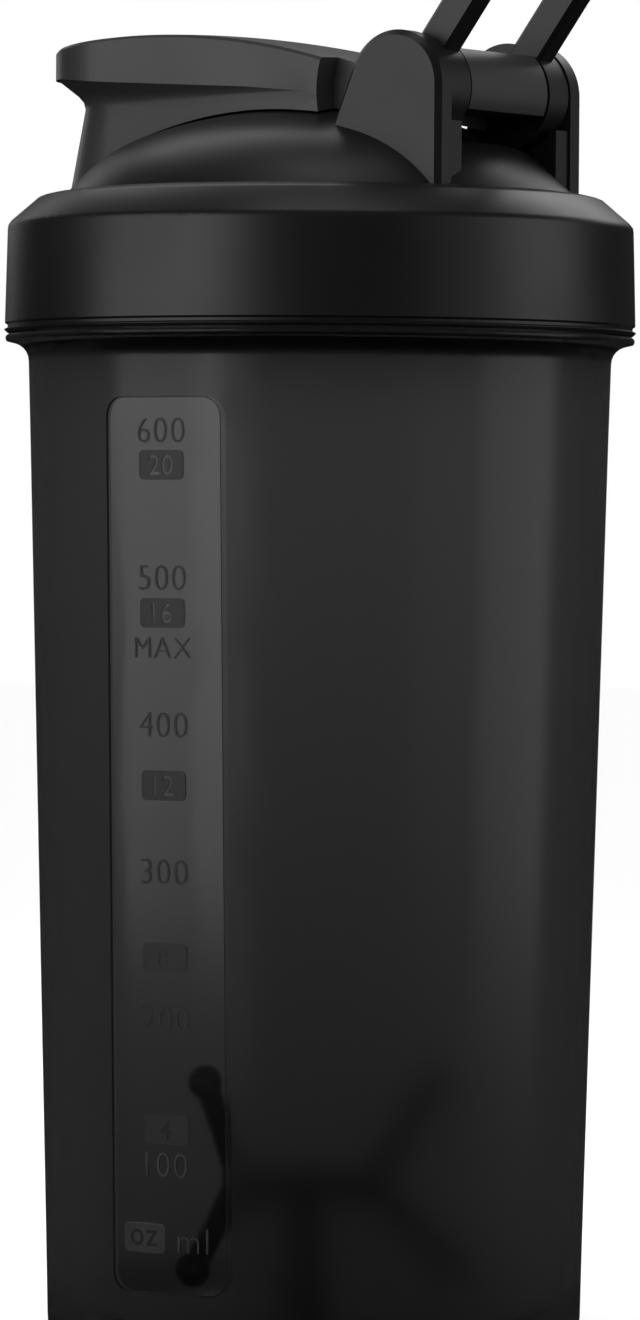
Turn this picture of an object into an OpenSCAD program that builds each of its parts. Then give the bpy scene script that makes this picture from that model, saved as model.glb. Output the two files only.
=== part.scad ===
// Protein shaker bottle: a tapered cup with a measuring window, a screw lid with a spout,
// a flip cap and a carry loop that share one hinge line, two seals and a loose mixer.
// The frame stands on the foot ring: Z up, spout towards -X, hinge towards +X.

/* [Cup] */
// Outside radius of the wall, carried down to the foot
cup_foot_r = 38.92; // [38.5:0.02:39.3]
// Gain in wall radius per millimetre of height
cup_taper = 0.0254; // [0.022:0.0002:0.028]
// Thickness of the cup wall
cup_wall = 1.6; // [1.4:0.1:1.8]
// Height of the flange that the lid closes down to
flange_top_z = 148.3; // [148:0.1:148.6]
// Radius of that flange
flange_r = 46; // [45.6:0.1:46.1]
// Height of the inside floor at its middle
floor_z = 3.2; // [3:0.1:4]
// Radius of the round between wall and foot
foot_round = 5; // [3:0.5:6]

/* [Measuring window] */
// Width of the smooth window in the wall
window_w = 19.2; // [14:0.1:20]
// Height of the window's lower edge
window_z0 = 11.6; // [10:0.1:14]
// Height of the window's upper edge
window_z1 = 138.7; // [120:0.1:140]
// Direction the window faces, seen from above
window_angle = 272.6; // [180:0.2:360]
// Depth of the window below the frosted wall
window_depth = 0.3; // [0.2:0.05:0.5]

/* [Thread] */
// Rise of the lid in one whole turn
thread_lead = 10; // [8:0.5:12]
// Number of thread starts
thread_starts = 2; // [2:1:2]
// Height of the thread's ridge above the neck
thread_ridge = 1.1; // [0.8:0.1:1.1]
// Angle that each ridge on the cup runs through
thread_sweep = 290; // [180:10:300]

/* [Lid] */
// Radius of the skirt at its lower edge
skirt_r = 46.2; // [46:0.1:46.6]
// Radius of the skirt below its chamfer
skirt_top_r = 45.75; // [45.5:0.05:46]
// Gap between the skirt and the cup's flange
skirt_gap = 0.3; // [0.2:0.1:0.5]
// Height where the chamfer starts
chamfer_z = 164.9; // [164.6:0.1:165.2]
// Height of the flat ring inside the chamfer
ring_z = 169.2; // [169:0.1:169.6]
// Radius where the dome's sphere ends and its shoulder starts
shoulder_r = 25; // [24:0.5:26]
// Radius of the shoulder's round, seen from the side
shoulder_round = 26; // [25:0.5:27]
// Height of the top of the dome
dome_top_z = 181.7; // [181.5:0.1:181.9]
// Radius of the sphere that the dome is part of
dome_sphere_r = 77.5; // [77:0.5:78.5]
// Thickness of the lid's top
lid_wall = 2; // [1.8:0.1:2.2]

/* [Spout] */
// Distance of the spout from the bottle's axis
spout_x = 26.4; // [26:0.1:26.8]
// Outside radius of the spout
spout_r = 8.8; // [8.6:0.1:8.9]
// Radius of the drinking hole
spout_hole_r = 7.2; // [7:0.1:7.4]
// Height of the spout's rim
spout_z = 184.6; // [184:0.1:185]

/* [Hinge] */
// Distance of the hinge line from the bottle's axis
hinge_x = 25.4; // [25.2:0.1:25.6]
// Height of the hinge line
hinge_z = 183.2; // [183:0.1:183.4]
// Radius of the round top of each ear
ear_r = 7.9; // [7.8:0.1:8.2]
// Distance between the ears' outer faces
ears_span = 37.4; // [37:0.1:37.8]
// Thickness of each ear
ear_t = 3.2; // [3:0.1:3.3]
// Radius of the flip cap's trunnions
trunnion_r = 2.6; // [2.2:0.1:3]
// Radial clearance of the trunnions in their bores
trunnion_gap = 0.08; // [0.05:0.01:0.1]

/* [Flip cap] */
// Half the width of the cap
cap_half_w = 14.2; // [14:0.1:14.4]
// Distance from the bottle's axis to the centre of the cap's round nose
nose_x = 31; // [30.7:0.1:31.3]
// Height of the crest of the cap's arched top
cap_top_z = 192.8; // [192.6:0.1:193]
// Place of that crest along X
cap_crest_x = -22; // [-24:1:-20]
// Radius of the arched top, seen from the side
cap_arch_r = 118; // [110:1:126]
// Radius of the arched top, seen from the end
cap_crown_r = 200; // [150:10:300]
// Thickness of the cap's walls
cap_wall = 1.8; // [1.6:0.1:1.9]
// Half the width of the arm that reaches the hinge
arm_half_w = 9.8; // [9.4:0.1:9.9]
// Angle at which the thumb scoop fades out along each side
scoop_fade = 4.4; // [4:0.1:4.8]

/* [Carry loop] */
// Distance of the loop's outer end from the hinge line
loop_len = 54; // [50:1:60]
// Distance between the middles of the two arms
loop_pitch = 24.2; // [24:0.1:24.6]
// Width of each arm
loop_w = 4; // [3.8:0.1:4.1]
// Thickness of each arm
loop_t = 5.2; // [4.8:0.05:5.4]
// Radius of the round knuckles on the hinge line
knuckle_r = 7.7; // [7.2:0.1:7.8]
// Lean of the loop, back from upright
loop_lean = 37; // [36:1:40]

/* [Mixer] */
// Length of the mixer's hub bar
mixer_bar = 19; // [17:0.5:20]
// Length of each of its four arms
mixer_arm = 17.5; // [16:0.5:18]
// Radius of the arms
mixer_arm_r = 1.9; // [1.6:0.1:2.1]
// Radius of the round tips
mixer_tip_r = 2.6; // [2.3:0.1:2.8]
// Height of the hub bar above the ground
mixer_z = 25.5; // [25:0.5:27]

/* [Hidden] */
$fn = 96;

// Cup
neck_in_r = 41.1;
neck_r = neck_in_r + 1.5;
neck_top_z = 162;
flange_round = 2.75;
flange_rim = 0.95;
foot_ring_in_r = 30;
foot_ring_h = 1.2;
floor_round = 8;
wall_top_z = flange_top_z - 3.9;
window_corner = 2.8;
rim_round = 0.5;

// Thread
ridge_root_w = 2.4;
ridge_crest_w = 1.4;
ridge_bury = 0.5;
ridge_steps = 15;
ridge_ends = 2;
thread_z0 = 151;
lid_thread_sweep = 200;
thread_clear = 0.4;
thread_pitch = thread_lead / thread_starts;

// Lid
skirt_z0 = flange_top_z + skirt_gap;
skirt_in_r = neck_r + thread_ridge + thread_clear;
groove_z = skirt_z0 + 0.8;
groove_d = 0.5;
chamfer_r = 41;
chamfer_top_z = 168.4;
chamfer_foot_r = 45.2;
seat_z = neck_top_z + 1.6;
plug_r = neck_in_r - 0.4;
plug_in_r = plug_r - 1.8;
plug_z0 = 159.6;
dome_centre_z = dome_top_z - dome_sphere_r;
shoulder_a = acos(shoulder_r / dome_sphere_r);
shoulder_x = (dome_sphere_r - shoulder_round) * cos(shoulder_a);
shoulder_z = dome_centre_z + (dome_sphere_r - shoulder_round) * sin(shoulder_a);
dome_foot_a = asin((ring_z - 0.5 - shoulder_z) / shoulder_round);
dome_foot_r = shoulder_x + shoulder_round * cos(dome_foot_a);
cap_clear = 0.35;

// Hinge
ear_out_y = ears_span / 2;
ear_in_y = ear_out_y - ear_t;
ear_edge = 0.8;
ear_foot_x = 13.9;
ear_foot_z = 176;
bore_r = trunnion_r + trunnion_gap;
bore_end_y = ear_out_y - 1.2;
pad_t = 3.2;
pocket_r = knuckle_r + 0.6;
pocket_wall = 2;

// Flip cap
neck_nose_x = 29.2;
scoop_top_z = 186.6;
scoop_mid_z = 184.4;
scoop_low_z = 182.3;
scoop_foot_z = 168;
scoop_lip_r = 15.3;
scoop_mid_r = 12.2;
scoop_low_r = 11.2;
scoop_foot_r = 13.7;
cap_edge = 0.4;
cap_back_r = 16.4;
barrel_top = 5.6;
barrel_low = -3.1;
barrel_r = 7.6;
stud_r = 2.5;
arm_end = 3;

// Spout seal
seal_plug_r = spout_hole_r - 0.25;
seal_plug_h = 2.4;
seal_flange_r = spout_r - 0.2;
seal_flange_h = 2.6;

// Carry loop
knuckle_in_y = arm_half_w + 0.5;
knuckle_out_y = ear_in_y - 0.3;
loop_back = -0.9;
loop_edge = 0.6;

// Mixer
mixer_at = [1.2, -4];
mixer_turn = 50;
mixer_bar_r = 2.5;
mixer_hub_r = 3.4;
fork_lift = [-44, 57];
fork_turn = [0, 222];
leg_splay = 18;
leg_len = (mixer_z - floor_z - 0.3 - mixer_tip_r) / cos(leg_splay);

big = 200;

function wall_r(z) = cup_foot_r + cup_taper * z;
// Points on an arc of n steps, from angle a0 to a1
function on_arc(x, y, r, a0, a1, n) =
    [for (i = [0:n]) let (a = a0 + (a1 - a0) * i / n) [x + r * cos(a), y + r * sin(a)]];

// One helical ridge as a closed strip: a trapezium swept along a right-hand helix, thinned at both ends.
// A positive dir points the crest outwards from root_r, a negative one inwards.
module ridge(root_r, dir, z0, sweep) {
    n = ceil(sweep / ridge_steps) * 2;
    function height(i) = min(1, min(i, n - i) / ridge_ends);
    function ring(i) = let (
        a = sweep * i / n,
        z = z0 + thread_lead * a / 360,
        r0 = root_r - dir * ridge_bury,
        r1 = root_r + dir * (thread_ridge * height(i) - (1 - height(i)) * ridge_bury / 2),
        half0 = ridge_root_w / 2,
        half1 = ridge_crest_w / 2,
        section = [[r0, -half0], [r1, -half1], [r1, half1], [r0, half0]])
        [for (p = section) [p[0] * cos(a), p[0] * sin(a), z + p[1]]];
    points = [for (i = [0:n]) each ring(i)];
    sides = [for (i = [0:n - 1], k = [0:3]) let (
        a = 4 * i + k,
        b = 4 * i + (k + 1) % 4)
        each [[a, a + 4, b], [b, a + 4, b + 4]]];
    ends = [[0, 1, 2], [0, 2, 3], [4 * n + 2, 4 * n + 1, 4 * n], [4 * n + 3, 4 * n + 2, 4 * n]];
    faces = concat(sides, ends);
    polyhedron(points, dir > 0 ? [for (f = faces) [f[2], f[1], f[0]]] : faces);
}

// The space that the measuring window takes out of the wall
module window_recess() {
    h = window_z1 - window_z0;
    corner = window_corner;
    intersection() {
        rotate([0, 0, window_angle])
            translate([foot_ring_in_r, 0, window_z0])
                rotate([90, 0, 90])
                    linear_extrude(cup_foot_r) {
                        translate([-window_w / 2, corner]) square([window_w, h - 2 * corner]);
                        translate([-window_w / 2 + corner, 0]) square([window_w - 2 * corner, h]);
                        for (x = [-1, 1], z = [corner, h - corner])
                            translate([x * (window_w / 2 - corner), z]) circle(corner, $fn = 48);
                    }
        difference() {
            cylinder(r = wall_r(0) + 20, h = window_z1 + 5);
            translate([0, 0, -1])
                cylinder(r1 = wall_r(-1) - window_depth, r2 = wall_r(window_z1 + 6) - window_depth,
                         h = window_z1 + 7, $fn = 160);
        }
    }
}

module cup() {
    outside = concat(
        [[0, foot_ring_h], [foot_ring_in_r - 1, foot_ring_h], [foot_ring_in_r, 0]],
        on_arc(wall_r(foot_round) - foot_round, foot_round, foot_round, -90, 0, 8),
        [[wall_r(wall_top_z), wall_top_z]],
        on_arc(wall_r(wall_top_z) + flange_round, wall_top_z, flange_round, 165, 105, 4),
        [[flange_r - 0.15, flange_top_z - flange_rim], [flange_r, flange_top_z - flange_rim + 0.3]],
        [[flange_r, flange_top_z - 0.3], [flange_r - 0.3, flange_top_z]],
        [[neck_r, flange_top_z], [neck_r, neck_top_z - rim_round], [neck_r - rim_round, neck_top_z]]);
    inside = concat(
        [[neck_in_r + rim_round, neck_top_z], [neck_in_r, neck_top_z - rim_round]],
        [[neck_in_r, flange_top_z - 1], [wall_r(wall_top_z) - cup_wall, wall_top_z]],
        on_arc(wall_r(floor_round) - cup_wall - floor_round, floor_z + floor_round,
               floor_round, 0, -90, 8),
        [[0, floor_z]]);
    color("dimgray", 0.7)
        difference() {
            union() {
                rotate_extrude($fn = 160) polygon(concat(outside, inside));
                for (i = [0:thread_starts - 1])
                    rotate([0, 0, i * 360 / thread_starts]) ridge(neck_r, 1, thread_z0, thread_sweep);
            }
            window_recess();
        }
}

// The dome down to the lid's seat, grown by some amount all over: a sphere that runs into a tighter shoulder
module dome(grow) {
    rotate_extrude($fn = 160)
        polygon(concat([[0, seat_z], [dome_foot_r + grow, seat_z]],
                       on_arc(shoulder_x, shoulder_z, shoulder_round + grow, dome_foot_a, shoulder_a, 12),
                       on_arc(0, dome_centre_z, dome_sphere_r + grow, shoulder_a + 1, 90, 14)));
}

module lid_outside() {
    rotate_extrude($fn = 160)
        polygon([[0, skirt_z0], [skirt_r - 0.4, skirt_z0], [skirt_r, skirt_z0 + 0.4],
                 [skirt_r, groove_z - 0.35],
                 [skirt_r - groove_d, groove_z - 0.1], [skirt_r - groove_d, groove_z + 0.3],
                 [skirt_r - 0.1, groove_z + 0.6], [skirt_top_r, chamfer_z - 1.2],
                 [skirt_top_r - 0.1, chamfer_z - 0.6],
                 [chamfer_foot_r, chamfer_z], [chamfer_r + 0.3, chamfer_top_z - 0.15],
                 [chamfer_r - 0.3, chamfer_top_z + 0.1], [chamfer_r - 1.6, chamfer_top_z + 0.4],
                 [dome_foot_r - 1, ring_z], [0, ring_z]]);
    dome(0);
}

module lid_inside() {
    top = ring_z - lid_wall;
    rotate_extrude($fn = 160)
        polygon([[0, skirt_z0 - 1], [skirt_in_r + 0.3, skirt_z0 - 1], [skirt_in_r + 0.3, skirt_z0 + 0.2],
                 [skirt_in_r, skirt_z0 + 0.6], [skirt_in_r, seat_z - 0.8], [skirt_in_r - 0.7, seat_z],
                 [plug_r, seat_z], [plug_r, plug_z0 + 0.5], [plug_r - 0.5, plug_z0], [plug_in_r, plug_z0],
                 [plug_in_r, top - 0.8], [plug_in_r - 1.2, top], [0, top]]);
    dome(-lid_wall);
}

module ear_outline(inset) {
    r = ear_r - inset;
    translate([hinge_x, hinge_z]) circle(r);
    lean = atan((hinge_x - ear_r - ear_foot_x) / (hinge_z - ear_foot_z));
    polygon([[hinge_x - r * cos(lean), hinge_z + r * sin(lean)],
             [ear_foot_x + inset, ear_foot_z],
             [ear_foot_x + inset, ring_z - 1], [hinge_x + r, ring_z - 1], [hinge_x + r, hinge_z]]);
}

module ear() {
    translate([0, -ear_in_y, 0])
        rotate([90, 0, 0])
            hull() {
                linear_extrude(ear_t - ear_edge) ear_outline(0, $fn = 64);
                linear_extrude(ear_t) ear_outline(ear_edge, $fn = 64);
            }
}

module along_hinge(r, half) {
    translate([hinge_x, half, hinge_z]) rotate([90, 0, 0]) cylinder(r = r, h = 2 * half);
}

// Pads inside the ears that carry the loop's knuckles, cut to the pocket's round below
module pads() {
    for (s = [-1, 1])
        translate([hinge_x - 3, s > 0 ? ear_in_y - pad_t : -ear_in_y - 0.2, ring_z - 1])
            cube([3 + ear_r - 0.4, pad_t + 0.2, 10]);
}

module lid() {
    color("#2b2b2d")
        difference() {
            union() {
                difference() {
                    union() {
                        lid_outside();
                        translate([-spout_x, 0, ring_z - 3])
                            cylinder(r = spout_r, h = spout_z - ring_z + 3);
                    }
                    lid_inside();
                }
                intersection() {
                    dome(0);
                    along_hinge(pocket_r + pocket_wall, ear_in_y + pocket_wall);
                    translate([0, 0, ring_z - lid_wall - 1]) cylinder(r = dome_foot_r, h = 20);
                }
                ear();
                mirror([0, 1, 0]) ear();
                pads();
                for (i = [0:thread_starts - 1])
                    rotate([0, 0, (i + 0.5) * 360 / thread_starts + 60])
                        ridge(skirt_in_r, -1, thread_z0 + thread_lead / 6, lid_thread_sweep);
            }
            along_hinge(pocket_r, ear_in_y);
            along_hinge(bore_r, bore_end_y);
            translate([-spout_x, 0, ring_z - 5]) cylinder(r = spout_hole_r, h = 30);
        }
}

module lid_seal() {
    r0 = plug_r + 0.1;
    r1 = neck_r + 0.4;
    z0 = neck_top_z + 0.1;
    z1 = seat_z;
    edge = 0.3;
    color("gainsboro")
        rotate_extrude($fn = 160)
            polygon([[r0, z0 + edge], [r0 + edge, z0], [r1 - edge, z0], [r1, z0 + edge],
                     [r1, z1 - edge], [r1 - edge, z1], [r0 + edge, z1], [r0, z1 - edge]]);
}

// A solid under the cap's arched top, lowered by some amount: an arc turned about a line along X
module under_arch(drop) {
    half = 55;
    translate([cap_crest_x, 0, cap_top_z - cap_crown_r])
        rotate([90, 0, 90])
            rotate_extrude($fn = 720)
                intersection() {
                    translate([cap_crown_r - cap_arch_r, 0]) circle(cap_arch_r - drop, $fn = 360);
                    translate([cap_crown_r / 2, -half]) square([cap_crown_r, 2 * half]);
                }
}

module cap_outline(inset) {
    r = cap_half_w - inset;
    translate([-nose_x, 0]) circle(r);
    translate([-nose_x, -r]) square([nose_x + hinge_x - arm_end, 2 * r]);
}

module cap_block(inset, drop) {
    intersection() {
        translate([0, 0, ring_z - 1]) linear_extrude(40) cap_outline(inset);
        under_arch(drop);
    }
}

// What the thumb scoop takes away: a turned cut round the nose that runs out along both sides
module scoop() {
    cut = [[big, scoop_foot_z], [scoop_foot_r, scoop_foot_z], [scoop_low_r, scoop_low_z],
           [scoop_low_r + 0.25, scoop_low_z + 1], [scoop_mid_r, scoop_mid_z - 0.2],
           [scoop_lip_r, scoop_top_z], [big, scoop_top_z]];
    side = [for (p = cut) [-min(p[0], 30), p[1]]];
    translate([-neck_nose_x, 0, 0]) {
        rotate([0, 0, 90 + scoop_fade])
            rotate_extrude(angle = 180 - 2 * scoop_fade)
                polygon([for (p = cut) [min(p[0], 30), p[1]]]);
        for (s = [0, 1])
            mirror([0, s, 0])
                rotate([0, 0, -scoop_fade])
                    translate([-0.1, 0, 0])
                        rotate([90, 0, 90]) linear_extrude(60) polygon(side);
    }
}

module flip_cap() {
    color("#2f2f31")
        difference() {
            union() {
                difference() {
                    hull() {
                        cap_block(0, cap_edge);
                        cap_block(cap_edge, 0);
                    }
                    scoop();
                    difference() {
                        along_hinge(cap_back_r, 30);
                        along_hinge(big, arm_half_w);
                    }
                    difference() {
                        cap_cavity();
                        translate([-spout_x, 0, spout_z + seal_flange_h + 0.1]) cylinder(r = 5, h = 10);
                    }
                }
                translate([-spout_x, 0, spout_z + 0.6]) cylinder(r = stud_r, h = 5);
                intersection() {
                    along_hinge(barrel_r, arm_half_w);
                    translate([hinge_x - 12, -20, hinge_z + barrel_low])
                        cube([24, 40, barrel_top - barrel_low]);
                }
                along_hinge(trunnion_r, bore_end_y - 0.4);
            }
            dome(cap_clear);
            cylinder(r = big, h = ring_z + cap_clear);
        }
}

// Hollow inside the cap that clears the spout
module cap_cavity() {
    r = scoop_low_r - cap_wall;
    end_x = hinge_x - cap_back_r - 2.2;
    end_y = arm_half_w + 1.6;
    intersection() {
        translate([0, 0, ring_z - 2])
            linear_extrude(40) {
                translate([-neck_nose_x, 0]) circle(r);
                polygon([[-neck_nose_x, -r], [end_x, -end_y], [end_x, end_y], [-neck_nose_x, r]]);
            }
        under_arch(cap_wall + 0.3);
    }
}

module spout_seal() {
    color("silver")
        translate([-spout_x, 0, spout_z])
            difference() {
                union() {
                    translate([0, 0, 0.05]) cylinder(r = seal_flange_r, h = seal_flange_h);
                    translate([0, 0, -seal_plug_h]) cylinder(r = seal_plug_r, h = seal_plug_h + 1);
                }
                translate([0, 0, 0.5]) cylinder(r = stud_r + 0.05, h = 10);
            }
}

// One bar of the loop's section, with its four edges taken off
module loop_section() {
    a = loop_w / 2;
    b = loop_t / 2;
    e = loop_edge;
    polygon([[-a + e, -b], [a - e, -b], [a, -b + e], [a, b - e],
             [a - e, b], [-a + e, b], [-a, b - e], [-a, -b + e]]);
}

module carry_loop() {
    half = loop_pitch / 2;
    bend_z = loop_len - half - loop_w / 2;
    color("#2d2d2f")
        translate([hinge_x, 0, hinge_z])
            rotate([0, loop_lean, 0])
                difference() {
                    union() {
                        translate([loop_back, 0, 0]) {
                            for (s = [-1, 1])
                                translate([0, s * half, 1])
                                    linear_extrude(bend_z - 1) rotate([0, 0, 90]) loop_section();
                            translate([0, 0, bend_z])
                                rotate([90, 0, 90])
                                    rotate_extrude(angle = 180)
                                        translate([half, 0]) loop_section();
                        }
                        for (s = [-1, 1])
                            translate([0, s * (knuckle_in_y + knuckle_out_y) / 2, 0])
                                rotate([90, 0, 0])
                                    cylinder(r = knuckle_r, h = knuckle_out_y - knuckle_in_y, center = true);
                    }
                    rotate([90, 0, 0]) cylinder(r = bore_r, h = 60, center = true);
                }
}

// A rod from the origin along a direction, with a round tip
module rod(len, azimuth, elevation, r, tip) {
    rotate([0, 90 - elevation, azimuth]) {
        cylinder(r = r, h = len, $fn = 32);
        translate([0, 0, len]) sphere(tip, $fn = 32);
    }
}

module mixer() {
    color("#3a3a3c")
        translate([mixer_at[0], mixer_at[1], mixer_z])
            rotate([0, 0, mixer_turn]) {
                translate([-mixer_bar / 2, 0, 0])
                    rotate([0, 90, 0]) cylinder(r = mixer_bar_r, h = mixer_bar, $fn = 40);
                sphere(mixer_hub_r, $fn = 40);
                for (end = [0, 1], side = [0, 1])
                    translate([(0.5 - end) * mixer_bar, 0, 0]) {
                        sphere(mixer_bar_r + 0.2, $fn = 40);
                        rod(mixer_arm, fork_turn[end], fork_lift[side], mixer_arm_r, mixer_tip_r);
                    }
                for (side = [-1, 1])
                    rod(leg_len, side * 90, leg_splay - 90, mixer_arm_r, mixer_tip_r);
            }
}

cup();
lid();
lid_seal();
flip_cap();
spout_seal();
carry_loop();
mixer();
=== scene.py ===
# Protein shaker bottle: a smoke-grey translucent cup with a measuring window, a black screw lid,
# a flip cap over the spout, a carry loop and a loose mixer, on a pale floor.
import math

import bmesh
import bpy
import numpy as np
from mathutils import Matrix, Vector


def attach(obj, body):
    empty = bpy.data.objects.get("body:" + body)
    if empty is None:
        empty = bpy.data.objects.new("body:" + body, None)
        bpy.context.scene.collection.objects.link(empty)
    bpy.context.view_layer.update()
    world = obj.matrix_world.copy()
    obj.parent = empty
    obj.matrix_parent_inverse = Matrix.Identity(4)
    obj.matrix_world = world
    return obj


mm = 0.001
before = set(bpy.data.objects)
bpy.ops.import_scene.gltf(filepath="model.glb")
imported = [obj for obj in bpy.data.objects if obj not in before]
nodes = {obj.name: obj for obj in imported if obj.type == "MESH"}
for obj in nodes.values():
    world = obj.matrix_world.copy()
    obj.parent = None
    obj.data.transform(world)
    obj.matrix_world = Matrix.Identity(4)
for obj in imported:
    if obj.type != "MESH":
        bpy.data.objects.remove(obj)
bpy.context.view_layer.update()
print("frame loaded:", ", ".join(sorted(nodes)))

camera = {
    "turnDeg": 35,        # how far the camera stands round from the front, seen from above
    "distance": 955 * mm,
    "eyeHeight": 120.5 * mm,
    "aimHeight": 101 * mm,
    "sideStep": 0.3 * mm,
    "rollDeg": 0.38,
    "lens": 177.8,
    "sensor": 36,
    "nearest": 0.05,
    "farthest": 20,
}


def roundObject(turnDeg, distance, height):
    # a place round the bottle: 0 degrees is the front, and the turn is anticlockwise seen from above
    turn = math.radians(turnDeg)
    return Vector((math.sin(turn) * distance, -math.cos(turn) * distance, height))


def makeCamera():
    data = bpy.data.cameras.new("camera")
    data.sensor_fit = "VERTICAL"
    data.sensor_height = camera["sensor"]
    data.lens = camera["lens"]
    data.clip_start = camera["nearest"]
    data.clip_end = camera["farthest"]
    obj = bpy.data.objects.new("camera", data)
    bpy.context.scene.collection.objects.link(obj)
    eye = roundObject(camera["turnDeg"], camera["distance"], camera["eyeHeight"])
    aim = Vector((0, 0, camera["aimHeight"]))
    look = (aim - eye).to_track_quat("-Z", "Y").to_matrix()
    eye += look @ Vector((camera["sideStep"], 0, 0))
    obj.matrix_world = (Matrix.Translation(eye) @ look.to_4x4()
                        @ Matrix.Rotation(math.radians(camera["rollDeg"]), 4, "Z"))
    bpy.context.scene.camera = obj


makeCamera()
print("camera in place")


def hexToLinear(text):
    values = [int(text[i:i + 2], 16) / 255 for i in (1, 3, 5)]
    return [v / 12.92 if v <= 0.04045 else ((v + 0.055) / 1.055) ** 2.4 for v in values] + [1]


def addNode(tree, kind, values=None, links=None, **settings):
    node = tree.nodes.new("ShaderNode" + kind)
    for name, value in settings.items():
        setattr(node, name, value)
    for name, value in (values or {}).items():
        node.inputs[name].default_value = value
    for name, source in (links or {}).items():
        tree.links.new(source, node.inputs[name])
    return node


def newMaterial(name):
    material = bpy.data.materials.new(name)
    material.use_nodes = True
    tree = material.node_tree
    tree.nodes.clear()
    shader = addNode(tree, "BsdfPrincipled")
    addNode(tree, "OutputMaterial", links={"Surface": shader.outputs["BSDF"]})
    return material, tree, shader


def setMaterial(obj, material):
    obj.data.materials.clear()
    obj.data.materials.append(material)


smoothBelowDeg = 28   # edges flatter than this are shaded round, and sharper ones stay crisp


def smoothNormals(mesh):
    # rounds the shading over every flat enough edge; no vertex moves
    points = np.zeros(len(mesh.vertices) * 3, np.float32)
    mesh.vertices.foreach_get("co", points)
    place = points.reshape(-1, 3)
    welded = np.unique(np.round(place, 6), axis=0, return_inverse=True)[1].ravel()
    loopCount = len(mesh.loops)
    loopVertex = np.zeros(loopCount, np.int32)
    mesh.loops.foreach_get("vertex_index", loopVertex)
    faceCount = len(mesh.polygons)
    starts = np.zeros(faceCount, np.int32)
    totals = np.zeros(faceCount, np.int32)
    normals = np.zeros(faceCount * 3, np.float32)
    areas = np.zeros(faceCount, np.float32)
    mesh.polygons.foreach_get("loop_start", starts)
    mesh.polygons.foreach_get("loop_total", totals)
    mesh.polygons.foreach_get("normal", normals)
    mesh.polygons.foreach_get("area", areas)
    normals = normals.reshape(-1, 3)
    loopFace = np.repeat(np.arange(faceCount), totals)
    corner = np.zeros(loopCount, np.float32)   # angle of each face at each of its corners
    for face in range(faceCount):
        mine = slice(starts[face], starts[face] + totals[face])
        ring = place[loopVertex[mine]]
        ahead = np.roll(ring, -1, 0) - ring
        back = np.roll(ring, 1, 0) - ring
        size = np.linalg.norm(ahead, axis=1) * np.linalg.norm(back, axis=1) + 1e-20
        corner[mine] = np.arccos(np.clip((ahead * back).sum(1) / size, -1, 1))
    weight = corner * np.sqrt(areas[loopFace])
    groups = {}
    for loop, vertex in enumerate(loopVertex):
        groups.setdefault(welded[vertex], []).append(loop)
    limit = math.cos(math.radians(smoothBelowDeg))
    result = np.zeros((loopCount, 3), np.float32)
    for loops in groups.values():
        loops = np.array(loops)
        facing = normals[loopFace[loops]]
        near = (facing @ facing.T) > limit
        result[loops] = (near * weight[loops][None, :]) @ facing
    result /= np.linalg.norm(result, axis=1, keepdims=True) + 1e-12
    mesh.polygons.foreach_set("use_smooth", np.ones(faceCount, bool))
    mesh.normals_split_custom_set(result.tolist())


satinBlack = {
    "lid": "#0f0f10",
    # painted light: the cap's colour is lighter than the lid's, to stand in for the light that its sides
    # catch
    "cap": "#303030",
    "loop": "#111112",
    "mixer": "#101011",
    "roughness": 0.38,
    "roughnessSpread": 0.05,
    "grain": 0.35 * mm,   # spark-eroded mould grain is near 0.1 mm; this is coarse enough to show
    "grainDepth": 0.02 * mm,
    "grainStrength": 0.35,
    "handling": 22 * mm,  # size of the patches that handling leaves a little glossier, and their tint
    "handlingTint": (0.86, 0.86, 0.87, 1),
    "ior": 1.49,
}


def satinPolypropylene(name, color):
    # injection-moulded polypropylene from a spark-eroded mould: a soft, wide highlight over near black,
    # a very fine grain, and slightly glossier patches where it is held
    material, tree, shader = newMaterial(name)
    place = addNode(tree, "TexCoord").outputs["Object"]
    grain = addNode(tree, "TexNoise", {"Scale": 1 / satinBlack["grain"], "Detail": 2, "Roughness": 0.6},
                    {"Vector": place})
    patches = addNode(tree, "TexNoise", {"Scale": 1 / satinBlack["handling"], "Detail": 4, "Roughness": 0.55},
                      {"Vector": place})
    rough = addNode(tree, "MapRange", {"From Min": 0.3, "From Max": 0.7,
                                       "To Min": satinBlack["roughness"] - satinBlack["roughnessSpread"],
                                       "To Max": satinBlack["roughness"] + satinBlack["roughnessSpread"]},
                    {"Value": patches.outputs["Fac"]})
    tone = addNode(tree, "MixRGB", {"Color1": hexToLinear(color), "Color2": satinBlack["handlingTint"]},
                   {"Fac": patches.outputs["Fac"]}, blend_type="MULTIPLY")
    bump = addNode(tree, "Bump", {"Strength": satinBlack["grainStrength"],
                                  "Distance": satinBlack["grainDepth"]},
                   {"Height": grain.outputs["Fac"]})
    tree.links.new(tone.outputs["Color"], shader.inputs["Base Color"])
    tree.links.new(rough.outputs["Result"], shader.inputs["Roughness"])
    tree.links.new(bump.outputs["Normal"], shader.inputs["Normal"])
    shader.inputs["IOR"].default_value = satinBlack["ior"]
    return material


silicone = {
    "base": "#8d8d8b",
    "bloom": "#7f7f7e",
    "bloomSize": 6 * mm,
    "roughness": 0.6,
    "ior": 1.41,
}


def mouldedSilicone():
    # moulded silicone rubber: matt grey with a faint bloom and no grain
    material, tree, shader = newMaterial("moulded_silicone")
    place = addNode(tree, "TexCoord").outputs["Object"]
    bloom = addNode(tree, "TexNoise", {"Scale": 1 / silicone["bloomSize"], "Detail": 3}, {"Vector": place})
    tone = addNode(tree, "MixRGB", {"Color1": hexToLinear(silicone["base"]),
                                    "Color2": hexToLinear(silicone["bloom"])},
                   {"Fac": bloom.outputs["Fac"]})
    tree.links.new(tone.outputs["Color"], shader.inputs["Base Color"])
    shader.inputs["Roughness"].default_value = silicone["roughness"]
    shader.inputs["IOR"].default_value = silicone["ior"]
    return material


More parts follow.
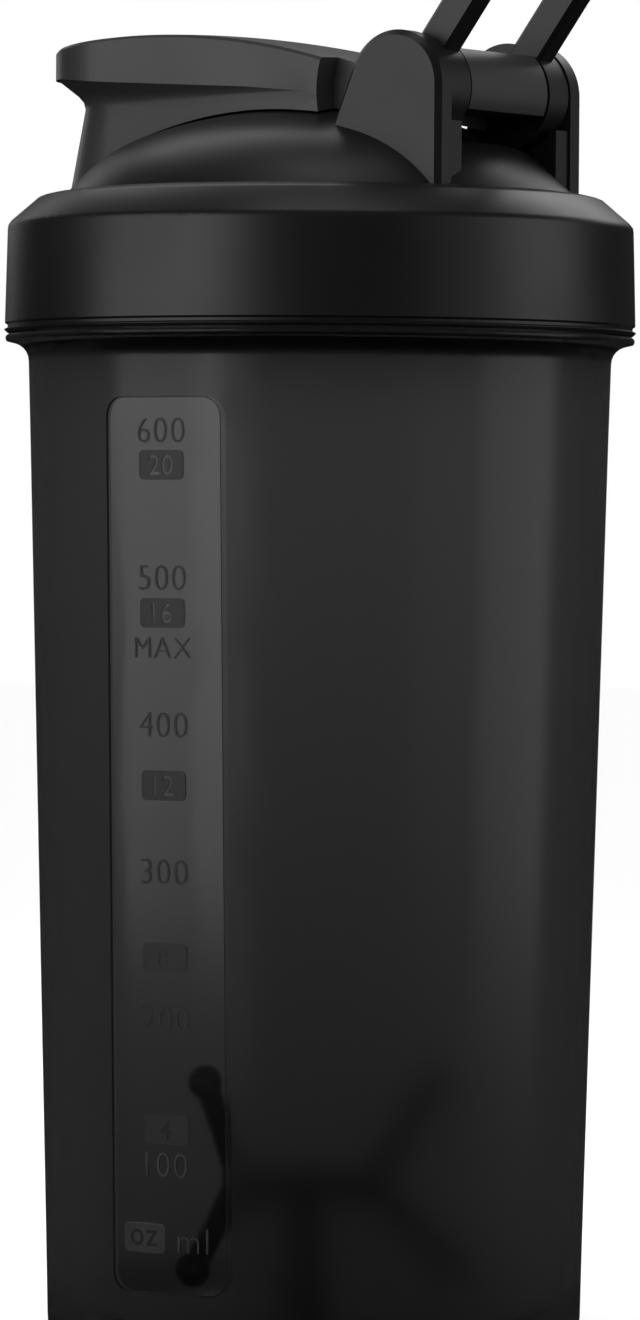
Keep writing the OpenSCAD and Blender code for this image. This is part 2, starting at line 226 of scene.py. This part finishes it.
smokeCup = {
    "wall": "#bababa",
    "window": "#f4f4f4",
    "step": "#505050",          # painted shade: a dark line painted round the window's small step, where the step turns from the light
    "shadeLineWidth": 0.13 * mm,     # half the width of that painted line of shade
    "wallRoughness": 0.22,
    "windowRoughness": 0.14,
    "insideRoughness": 0.5,
    "insideFrom": 0.8 * mm,     # depths in the wall where the outside's finish ends and the inside's is full
    "insideTo": 1.2 * mm,
    "grain": 0.35 * mm,         # coarser than the real etching, so that it shows
    "grainDepth": 0.02 * mm,
    "grainStrength": 0.25,
    "specular": 0.35,
    "ior": 1.3,                 # under the real 1.49, which bends what shows through the cup too far
    "footRadius": 38.92 * mm,   # the wall's outside radius carried down to the foot, and its gain with height
    "taper": 0.0254,
    "windowAngleDeg": 272.6,    # the way the window faces, anticlockwise from +X seen from above
    "windowWidth": 19.2 * mm,
    "windowLow": 11.6 * mm,
    "windowHigh": 138.7 * mm,
    "windowCorner": 2.8 * mm,
    "windowDepth": 0.3 * mm,
}


def wallRadius(height):
    return smokeCup["footRadius"] + smokeCup["taper"] * height


def windowDistance(tree, place, height):
    # how far a point lies outside the window's rounded outline, seen square on; far away behind the axis
    turn = math.radians(smokeCup["windowAngleDeg"])
    corner = smokeCup["windowCorner"]
    middle = (smokeCup["windowLow"] + smokeCup["windowHigh"]) / 2
    halfWidth = smokeCup["windowWidth"] / 2
    halfHeight = (smokeCup["windowHigh"] - smokeCup["windowLow"]) / 2
    across = addNode(tree, "VectorMath", {1: (-math.sin(turn), math.cos(turn), 0)}, {0: place},
                     operation="DOT_PRODUCT")
    out = addNode(tree, "VectorMath", {1: (math.cos(turn), math.sin(turn), 0)}, {0: place},
                  operation="DOT_PRODUCT")
    behind = addNode(tree, "Math", {1: 0}, {0: out.outputs["Value"]}, operation="LESS_THAN")
    seen = addNode(tree, "CombineXYZ", links={"X": across.outputs["Value"], "Y": height,
                                              "Z": behind.outputs["Value"]})
    centred = addNode(tree, "VectorMath", {1: (0, middle, 0)}, {0: seen.outputs["Vector"]},
                      operation="SUBTRACT")
    mirrored = addNode(tree, "VectorMath", links={0: centred.outputs["Vector"]}, operation="ABSOLUTE")
    past = addNode(tree, "VectorMath", {1: (halfWidth - corner, halfHeight - corner, 0)},
                   {0: mirrored.outputs["Vector"]}, operation="SUBTRACT")
    clipped = addNode(tree, "VectorMath", {1: (0, 0, 0)}, {0: past.outputs["Vector"]}, operation="MAXIMUM")
    length = addNode(tree, "VectorMath", links={0: clipped.outputs["Vector"]}, operation="LENGTH")
    return addNode(tree, "Math", {1: corner}, {0: length.outputs["Value"]}, operation="SUBTRACT")


def smokePolypropylene():
    # smoke-tinted clear polypropylene: a finely etched outside and a frosted inside blur what is behind
    # the wall, and the measuring window, polished on both faces, shows it clearer
    material, tree, shader = newMaterial("smoke_polypropylene")
    place = addNode(tree, "TexCoord").outputs["Object"]
    parts = addNode(tree, "SeparateXYZ", links={"Vector": place})
    flat = addNode(tree, "CombineXYZ", links={"X": parts.outputs["X"], "Y": parts.outputs["Y"]})
    radius = addNode(tree, "VectorMath", links={0: flat.outputs["Vector"]}, operation="LENGTH")
    surface = addNode(tree, "Math", {1: smokeCup["taper"], 2: smokeCup["footRadius"]},
                      {0: parts.outputs["Z"]}, operation="MULTIPLY_ADD")
    depth = addNode(tree, "Math", links={0: surface.outputs["Value"], 1: radius.outputs["Value"]},
                    operation="SUBTRACT")
    inside = addNode(tree, "MapRange", {"From Min": smokeCup["insideFrom"], "From Max": smokeCup["insideTo"]},
                     {"Value": depth.outputs["Value"]})
    outline = windowDistance(tree, place, parts.outputs["Z"]).outputs["Value"]
    polished = addNode(tree, "Math", {1: 0}, {0: outline}, operation="LESS_THAN")
    # painted shade: a dark line painted along the window's outline on the outer face, for the shade at its
    # step
    paintedShadeLine = addNode(tree, "Math", {1: 0, 2: smokeCup["shadeLineWidth"]}, {0: outline}, operation="COMPARE")
    onlyOutside = addNode(tree, "Math", {0: 1}, {1: inside.outputs["Result"]}, operation="SUBTRACT")
    step = addNode(tree, "Math", links={0: paintedShadeLine.outputs["Value"], 1: onlyOutside.outputs["Value"]},
                   operation="MULTIPLY")
    outer = addNode(tree, "MapRange", {"To Min": smokeCup["wallRoughness"],
                                       "To Max": smokeCup["windowRoughness"]},
                    {"Value": polished.outputs["Value"]})
    inner = addNode(tree, "MapRange", {"To Min": smokeCup["insideRoughness"],
                                       "To Max": smokeCup["windowRoughness"]},
                    {"Value": polished.outputs["Value"]})
    rough = addNode(tree, "Mix", links={"Factor": inside.outputs["Result"], "A": outer.outputs["Result"],
                                        "B": inner.outputs["Result"]})
    tint = addNode(tree, "MixRGB", {"Color1": hexToLinear(smokeCup["wall"]),
                                    "Color2": hexToLinear(smokeCup["window"])},
                   {"Fac": polished.outputs["Value"]})
    tone = addNode(tree, "MixRGB", {"Color2": hexToLinear(smokeCup["step"])},
                   {"Fac": step.outputs["Value"], "Color1": tint.outputs["Color"]})
    grain = addNode(tree, "TexNoise", {"Scale": 1 / smokeCup["grain"], "Detail": 2}, {"Vector": place})
    strength = addNode(tree, "MapRange", {"To Min": smokeCup["grainStrength"], "To Max": 0.0},
                       {"Value": polished.outputs["Value"]})
    bump = addNode(tree, "Bump", {"Distance": smokeCup["grainDepth"]},
                   {"Height": grain.outputs["Fac"], "Strength": strength.outputs["Result"]})
    tree.links.new(tone.outputs["Color"], shader.inputs["Base Color"])
    tree.links.new(rough.outputs["Result"], shader.inputs["Roughness"])
    tree.links.new(bump.outputs["Normal"], shader.inputs["Normal"])
    shader.inputs["Transmission Weight"].default_value = 1.0
    shader.inputs["Specular IOR Level"].default_value = smokeCup["specular"]
    shader.inputs["IOR"].default_value = smokeCup["ior"]
    return material


marks = {
    "tint": "#a2a2a2",
    "tintInGrain": "#aeaeae",
    "roughness": 0.4,
    "specular": 0.25,
    "digitHeight": 3.5 * mm,
    "smallDigit": 2.9 * mm,
    "ozDigit": 2.4 * mm,
    "mlDigit": 3.52 * mm,
    "spacing": 1.1,
    "raised": 0.18 * mm,
    "thin": -0.016,             # share of the letter size that each stroke's edge moves in, or out in a plate
    "bold": 0.008,
    "sunk": 0.03 * mm,
    "plate": (7.4 * mm, 4.2 * mm),
    "plateCorner": 0.8 * mm,
    "cornerSteps": 6,
    "mlMarks": 6,               # how many, the height of the lowest, and the step to each next one
    "firstMl": 30.0 * mm,
    "stepMl": 20.8 * mm,
    "ozMarks": 5,
    "firstOz": 35.0 * mm,
    "stepOz": 24.4 * mm,
    "topOz": 129.1 * mm,
    "fullHeight": 103.3 * mm,
    "unitHeight": 19.4 * mm,
    "sideways": 0.15 * mm,      # how far round the wall from the window's middle
    "ozSideways": -3.75 * mm,
    "mlSideways": 4.45 * mm,
    "strip": 0.6 * mm,          # the marks are cut into strips this wide, so that they follow the wall
    "weld": 0.001 * mm,
}
markThickness = marks["raised"] + marks["sunk"]


def meshFrom(obj):
    bpy.context.view_layer.update()
    return bpy.data.meshes.new_from_object(obj.evaluated_get(bpy.context.evaluated_depsgraph_get()))


def flatText(text, height, thickness, weight):
    curve = bpy.data.curves.new("text", "FONT")
    curve.body = text
    curve.align_x = "CENTER"
    curve.align_y = "CENTER"
    curve.size = 1
    curve.resolution_u = 4
    curve.space_character = marks["spacing"]
    curve.offset = weight
    obj = bpy.data.objects.new("text", curve)
    bpy.context.scene.collection.objects.link(obj)
    bpy.context.view_layer.update()
    curve.size = height / obj.dimensions.y
    curve.offset = weight * curve.size
    curve.extrude = thickness / 2
    mesh = meshFrom(obj)
    bpy.data.objects.remove(obj)
    points = np.array([v.co for v in mesh.vertices])
    middle = (points.min(0) + points.max(0)) / 2
    mesh.transform(Matrix.Translation((-middle[0], -middle[1], 0)))
    return mesh


def flatPlate():
    # a plate with rounded corners, drawn corner by corner
    width, height = marks["plate"]
    corner = marks["plateCorner"]
    work = bmesh.new()
    outline = []
    for quarter, (x, y) in enumerate(((1, 1), (-1, 1), (-1, -1), (1, -1))):
        for step in range(marks["cornerSteps"] + 1):
            turn = math.radians(90 * (quarter + step / marks["cornerSteps"]))
            outline.append(work.verts.new((x * (width / 2 - corner) + corner * math.cos(turn),
                                           y * (height / 2 - corner) + corner * math.sin(turn),
                                           -markThickness / 2)))
    face = work.faces.new(outline)
    raised = bmesh.ops.extrude_face_region(work, geom=[face])["geom"]
    bmesh.ops.translate(work, vec=(0, 0, markThickness),
                        verts=[v for v in raised if isinstance(v, bmesh.types.BMVert)])
    bmesh.ops.recalc_face_normals(work, faces=work.faces)
    mesh = bpy.data.meshes.new("plate")
    work.to_mesh(mesh)
    work.free()
    return mesh


def plateWith(text, height):
    # the plates' digits go right through them, so the clear window shows in them
    base = bpy.data.objects.new("plate", flatPlate())
    tool = bpy.data.objects.new("digits", flatText(text, height, 3 * markThickness, marks["bold"]))
    for obj in (base, tool):
        bpy.context.scene.collection.objects.link(obj)
    cut = base.modifiers.new("cut", "BOOLEAN")
    cut.operation = "DIFFERENCE"
    cut.solver = "EXACT"
    cut.object = tool
    result = meshFrom(base)
    bpy.data.objects.remove(base)
    bpy.data.objects.remove(tool)
    return result


def wrapOnWindow(name, mesh, across, height, material):
    # lays a flat mesh on the window's floor: x runs round the wall, y up it, z out of it
    work = bmesh.new()
    work.from_mesh(mesh)
    bmesh.ops.remove_doubles(work, verts=work.verts, dist=marks["weld"])
    reach = max(abs(v.co.x) for v in work.verts)
    cuts = int(reach / marks["strip"])
    for i in range(-cuts, cuts + 1):
        geometry = list(work.verts) + list(work.edges) + list(work.faces)
        bmesh.ops.bisect_plane(work, geom=geometry, plane_co=(i * marks["strip"], 0, 0), plane_no=(1, 0, 0))
    for vertex in work.verts:
        z = height + vertex.co.y
        floor = wallRadius(z) - smokeCup["windowDepth"]
        radius = floor - marks["sunk"] + vertex.co.z + markThickness / 2
        turn = math.radians(smokeCup["windowAngleDeg"]) + (across + vertex.co.x) / floor
        vertex.co = (radius * math.cos(turn), radius * math.sin(turn), z)
    bmesh.ops.recalc_face_normals(work, faces=work.faces)
    done = bpy.data.meshes.new(name)
    work.to_mesh(done)
    work.free()
    obj = bpy.data.objects.new(name, done)
    bpy.context.scene.collection.objects.link(obj)
    setMaterial(obj, material)
    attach(obj, "cup")


def etchedPolypropylene():
    # the marks are the same smoke polypropylene, standing proud and frosted: they read a little darker
    material, tree, shader = newMaterial("etched_polypropylene")
    place = addNode(tree, "TexCoord").outputs["Object"]
    grain = addNode(tree, "TexNoise", {"Scale": 1 / smokeCup["grain"], "Detail": 2}, {"Vector": place})
    tone = addNode(tree, "MixRGB", {"Color1": hexToLinear(marks["tint"]),
                                    "Color2": hexToLinear(marks["tintInGrain"])},
                   {"Fac": grain.outputs["Fac"]})
    tree.links.new(tone.outputs["Color"], shader.inputs["Base Color"])
    shader.inputs["Roughness"].default_value = marks["roughness"]
    shader.inputs["Transmission Weight"].default_value = 1.0
    shader.inputs["Specular IOR Level"].default_value = marks["specular"]
    shader.inputs["IOR"].default_value = smokeCup["ior"]
    return material


def makeMarks():
    # millilitres as plain digits and ounces as digits cut through small plates, up the same line
    material = etchedPolypropylene()
    side = marks["sideways"]
    for i in range(marks["mlMarks"]):
        label = str(100 * (i + 1))
        digits = flatText(label, marks["digitHeight"], markThickness, marks["thin"])
        wrapOnWindow("mark_ml_" + label, digits, side, marks["firstMl"] + i * marks["stepMl"], material)
    full = flatText("MAX", marks["smallDigit"], markThickness, marks["thin"])
    wrapOnWindow("mark_full", full, side, marks["fullHeight"], material)
    for i in range(marks["ozMarks"]):
        label = str(4 * (i + 1))
        top = i == marks["ozMarks"] - 1
        height = marks["topOz"] if top else marks["firstOz"] + i * marks["stepOz"]
        wrapOnWindow("mark_oz_" + label, plateWith(label, marks["smallDigit"]), side, height, material)
    wrapOnWindow("mark_unit_oz", plateWith("oz", marks["ozDigit"]), marks["ozSideways"],
                 marks["unitHeight"], material)
    unit = flatText("ml", marks["mlDigit"], markThickness, marks["thin"])
    wrapOnWindow("mark_unit_ml", unit, marks["mlSideways"], marks["unitHeight"], material)


for name in nodes:
    smoothNormals(nodes[name].data)
setMaterial(nodes["cup"], smokePolypropylene())
setMaterial(nodes["lid"], satinPolypropylene("satin_polypropylene_lid", satinBlack["lid"]))
setMaterial(nodes["flip_cap"], satinPolypropylene("satin_polypropylene_cap", satinBlack["cap"]))
setMaterial(nodes["carry_loop"], satinPolypropylene("satin_polypropylene_loop", satinBlack["loop"]))
setMaterial(nodes["mixer"], satinPolypropylene("satin_polypropylene_mixer", satinBlack["mixer"]))
seal = mouldedSilicone()
setMaterial(nodes["lid_seal"], seal)
setMaterial(nodes["spout_seal"], seal)
print("plastics on the frame's nodes")
makeMarks()
print("measuring marks made")

studio = {
    "aim": Vector((0, 0, 115 * mm)),
    "distance": 0.62,
    "lights": {   # turn from the camera to its right, height above level, width and height, power
        "leftBox": (-60, 6, (0.55, 0.60), 1.6),
        "leftNear": (-38, 6, (0.25, 0.60), 0.45),
        "rightBox": (84, 6, (0.42, 0.60), 0.85),
        "rightNear": (50, 10, (0.30, 0.60), 0.15),
        "leftBack": (-150, 20, (0.14, 0.30), 0.12),
        "rightBack": (145, 34, (0.30, 0.30), 0.35),
        "topBack": (176, 50, (0.60, 0.30), 0.65),
        "top": (0, 84, (0.30, 0.20), 0.25),
    },
    "glowBehind": 0.17,    # the glow seen through the cup straight behind and before it, none at its sides
    "glowFocus": 3,
    "inReflections": 0.02,
    "surroundColor": "#ffffff",
    "floorRadius": 4,
    "floorSides": 96,
    "floorColor": "#fcfcfc",
    "floorInReflections": "#121212",
}


def makeLight(name, turn, rise, size, power):
    data = bpy.data.lights.new(name, "AREA")
    data.shape = "RECTANGLE"
    data.size, data.size_y = size
    data.energy = power
    obj = bpy.data.objects.new(name, data)
    bpy.context.scene.collection.objects.link(obj)
    level = studio["distance"] * math.cos(math.radians(rise))
    lift = studio["aim"].z + studio["distance"] * math.sin(math.radians(rise))
    obj.location = roundObject(camera["turnDeg"] + turn, level, lift)
    obj.rotation_euler = (studio["aim"] - obj.location).to_track_quat("-Z", "Y").to_euler()
    obj.visible_camera = False
    obj.visible_transmission = False


def makeFloor():
    # pale to the eye and dark to everything it lights, as with black card laid round a real bottle
    bpy.ops.mesh.primitive_circle_add(vertices=studio["floorSides"], radius=studio["floorRadius"],
                                      fill_type="NGON")
    floor = bpy.context.object
    floor.name = "floor"
    material, tree, shader = newMaterial("pale_floor")
    path = addNode(tree, "LightPath")
    tone = addNode(tree, "MixRGB", {"Color1": hexToLinear(studio["floorInReflections"]),
                                    "Color2": hexToLinear(studio["floorColor"])},
                   {"Fac": path.outputs["Is Camera Ray"]})
    tree.links.new(tone.outputs["Color"], shader.inputs["Base Color"])
    shader.inputs["Roughness"].default_value = 1.0
    shader.inputs["Specular IOR Level"].default_value = 0
    setMaterial(floor, material)


def makeSurround():
    # white to the eye, almost black in reflections, so that the soft boxes draw the highlights, and
    # through the cup a glow straight behind and before it, which leaves the cup's edges dark
    world = bpy.data.worlds.new("surround")
    bpy.context.scene.world = world
    world.use_nodes = True
    tree = world.node_tree
    tree.nodes.clear()
    path = addNode(tree, "LightPath")
    place = addNode(tree, "TexCoord").outputs["Generated"]
    front = roundObject(camera["turnDeg"], 1, 0)
    facing = addNode(tree, "VectorMath", {1: front}, {0: place}, operation="DOT_PRODUCT")
    square = addNode(tree, "Math", {1: 2}, {0: facing.outputs["Value"]}, operation="POWER")
    lobe = addNode(tree, "Math", {1: studio["glowFocus"]}, {0: square.outputs["Value"]}, operation="POWER")
    through = addNode(tree, "MapRange", {"To Max": studio["glowBehind"]}, {"Value": lobe.outputs["Value"]})
    seen = addNode(tree, "Mix", {"A": 1.0, "B": studio["inReflections"]},
                   {"Factor": path.outputs["Is Glossy Ray"]})
    glow = addNode(tree, "Mix", links={"Factor": path.outputs["Is Transmission Ray"],
                                       "A": seen.outputs["Result"], "B": through.outputs["Result"]})
    sky = addNode(tree, "Background", {"Color": hexToLinear(studio["surroundColor"])},
                  {"Strength": glow.outputs["Result"]})
    addNode(tree, "OutputWorld", links={"Surface": sky.outputs["Background"]})


for name, (turn, rise, size, power) in studio["lights"].items():
    makeLight(name, turn, rise, size, power)
makeFloor()
makeSurround()
bpy.context.scene.view_settings.view_transform = "Standard"
print("studio lit")
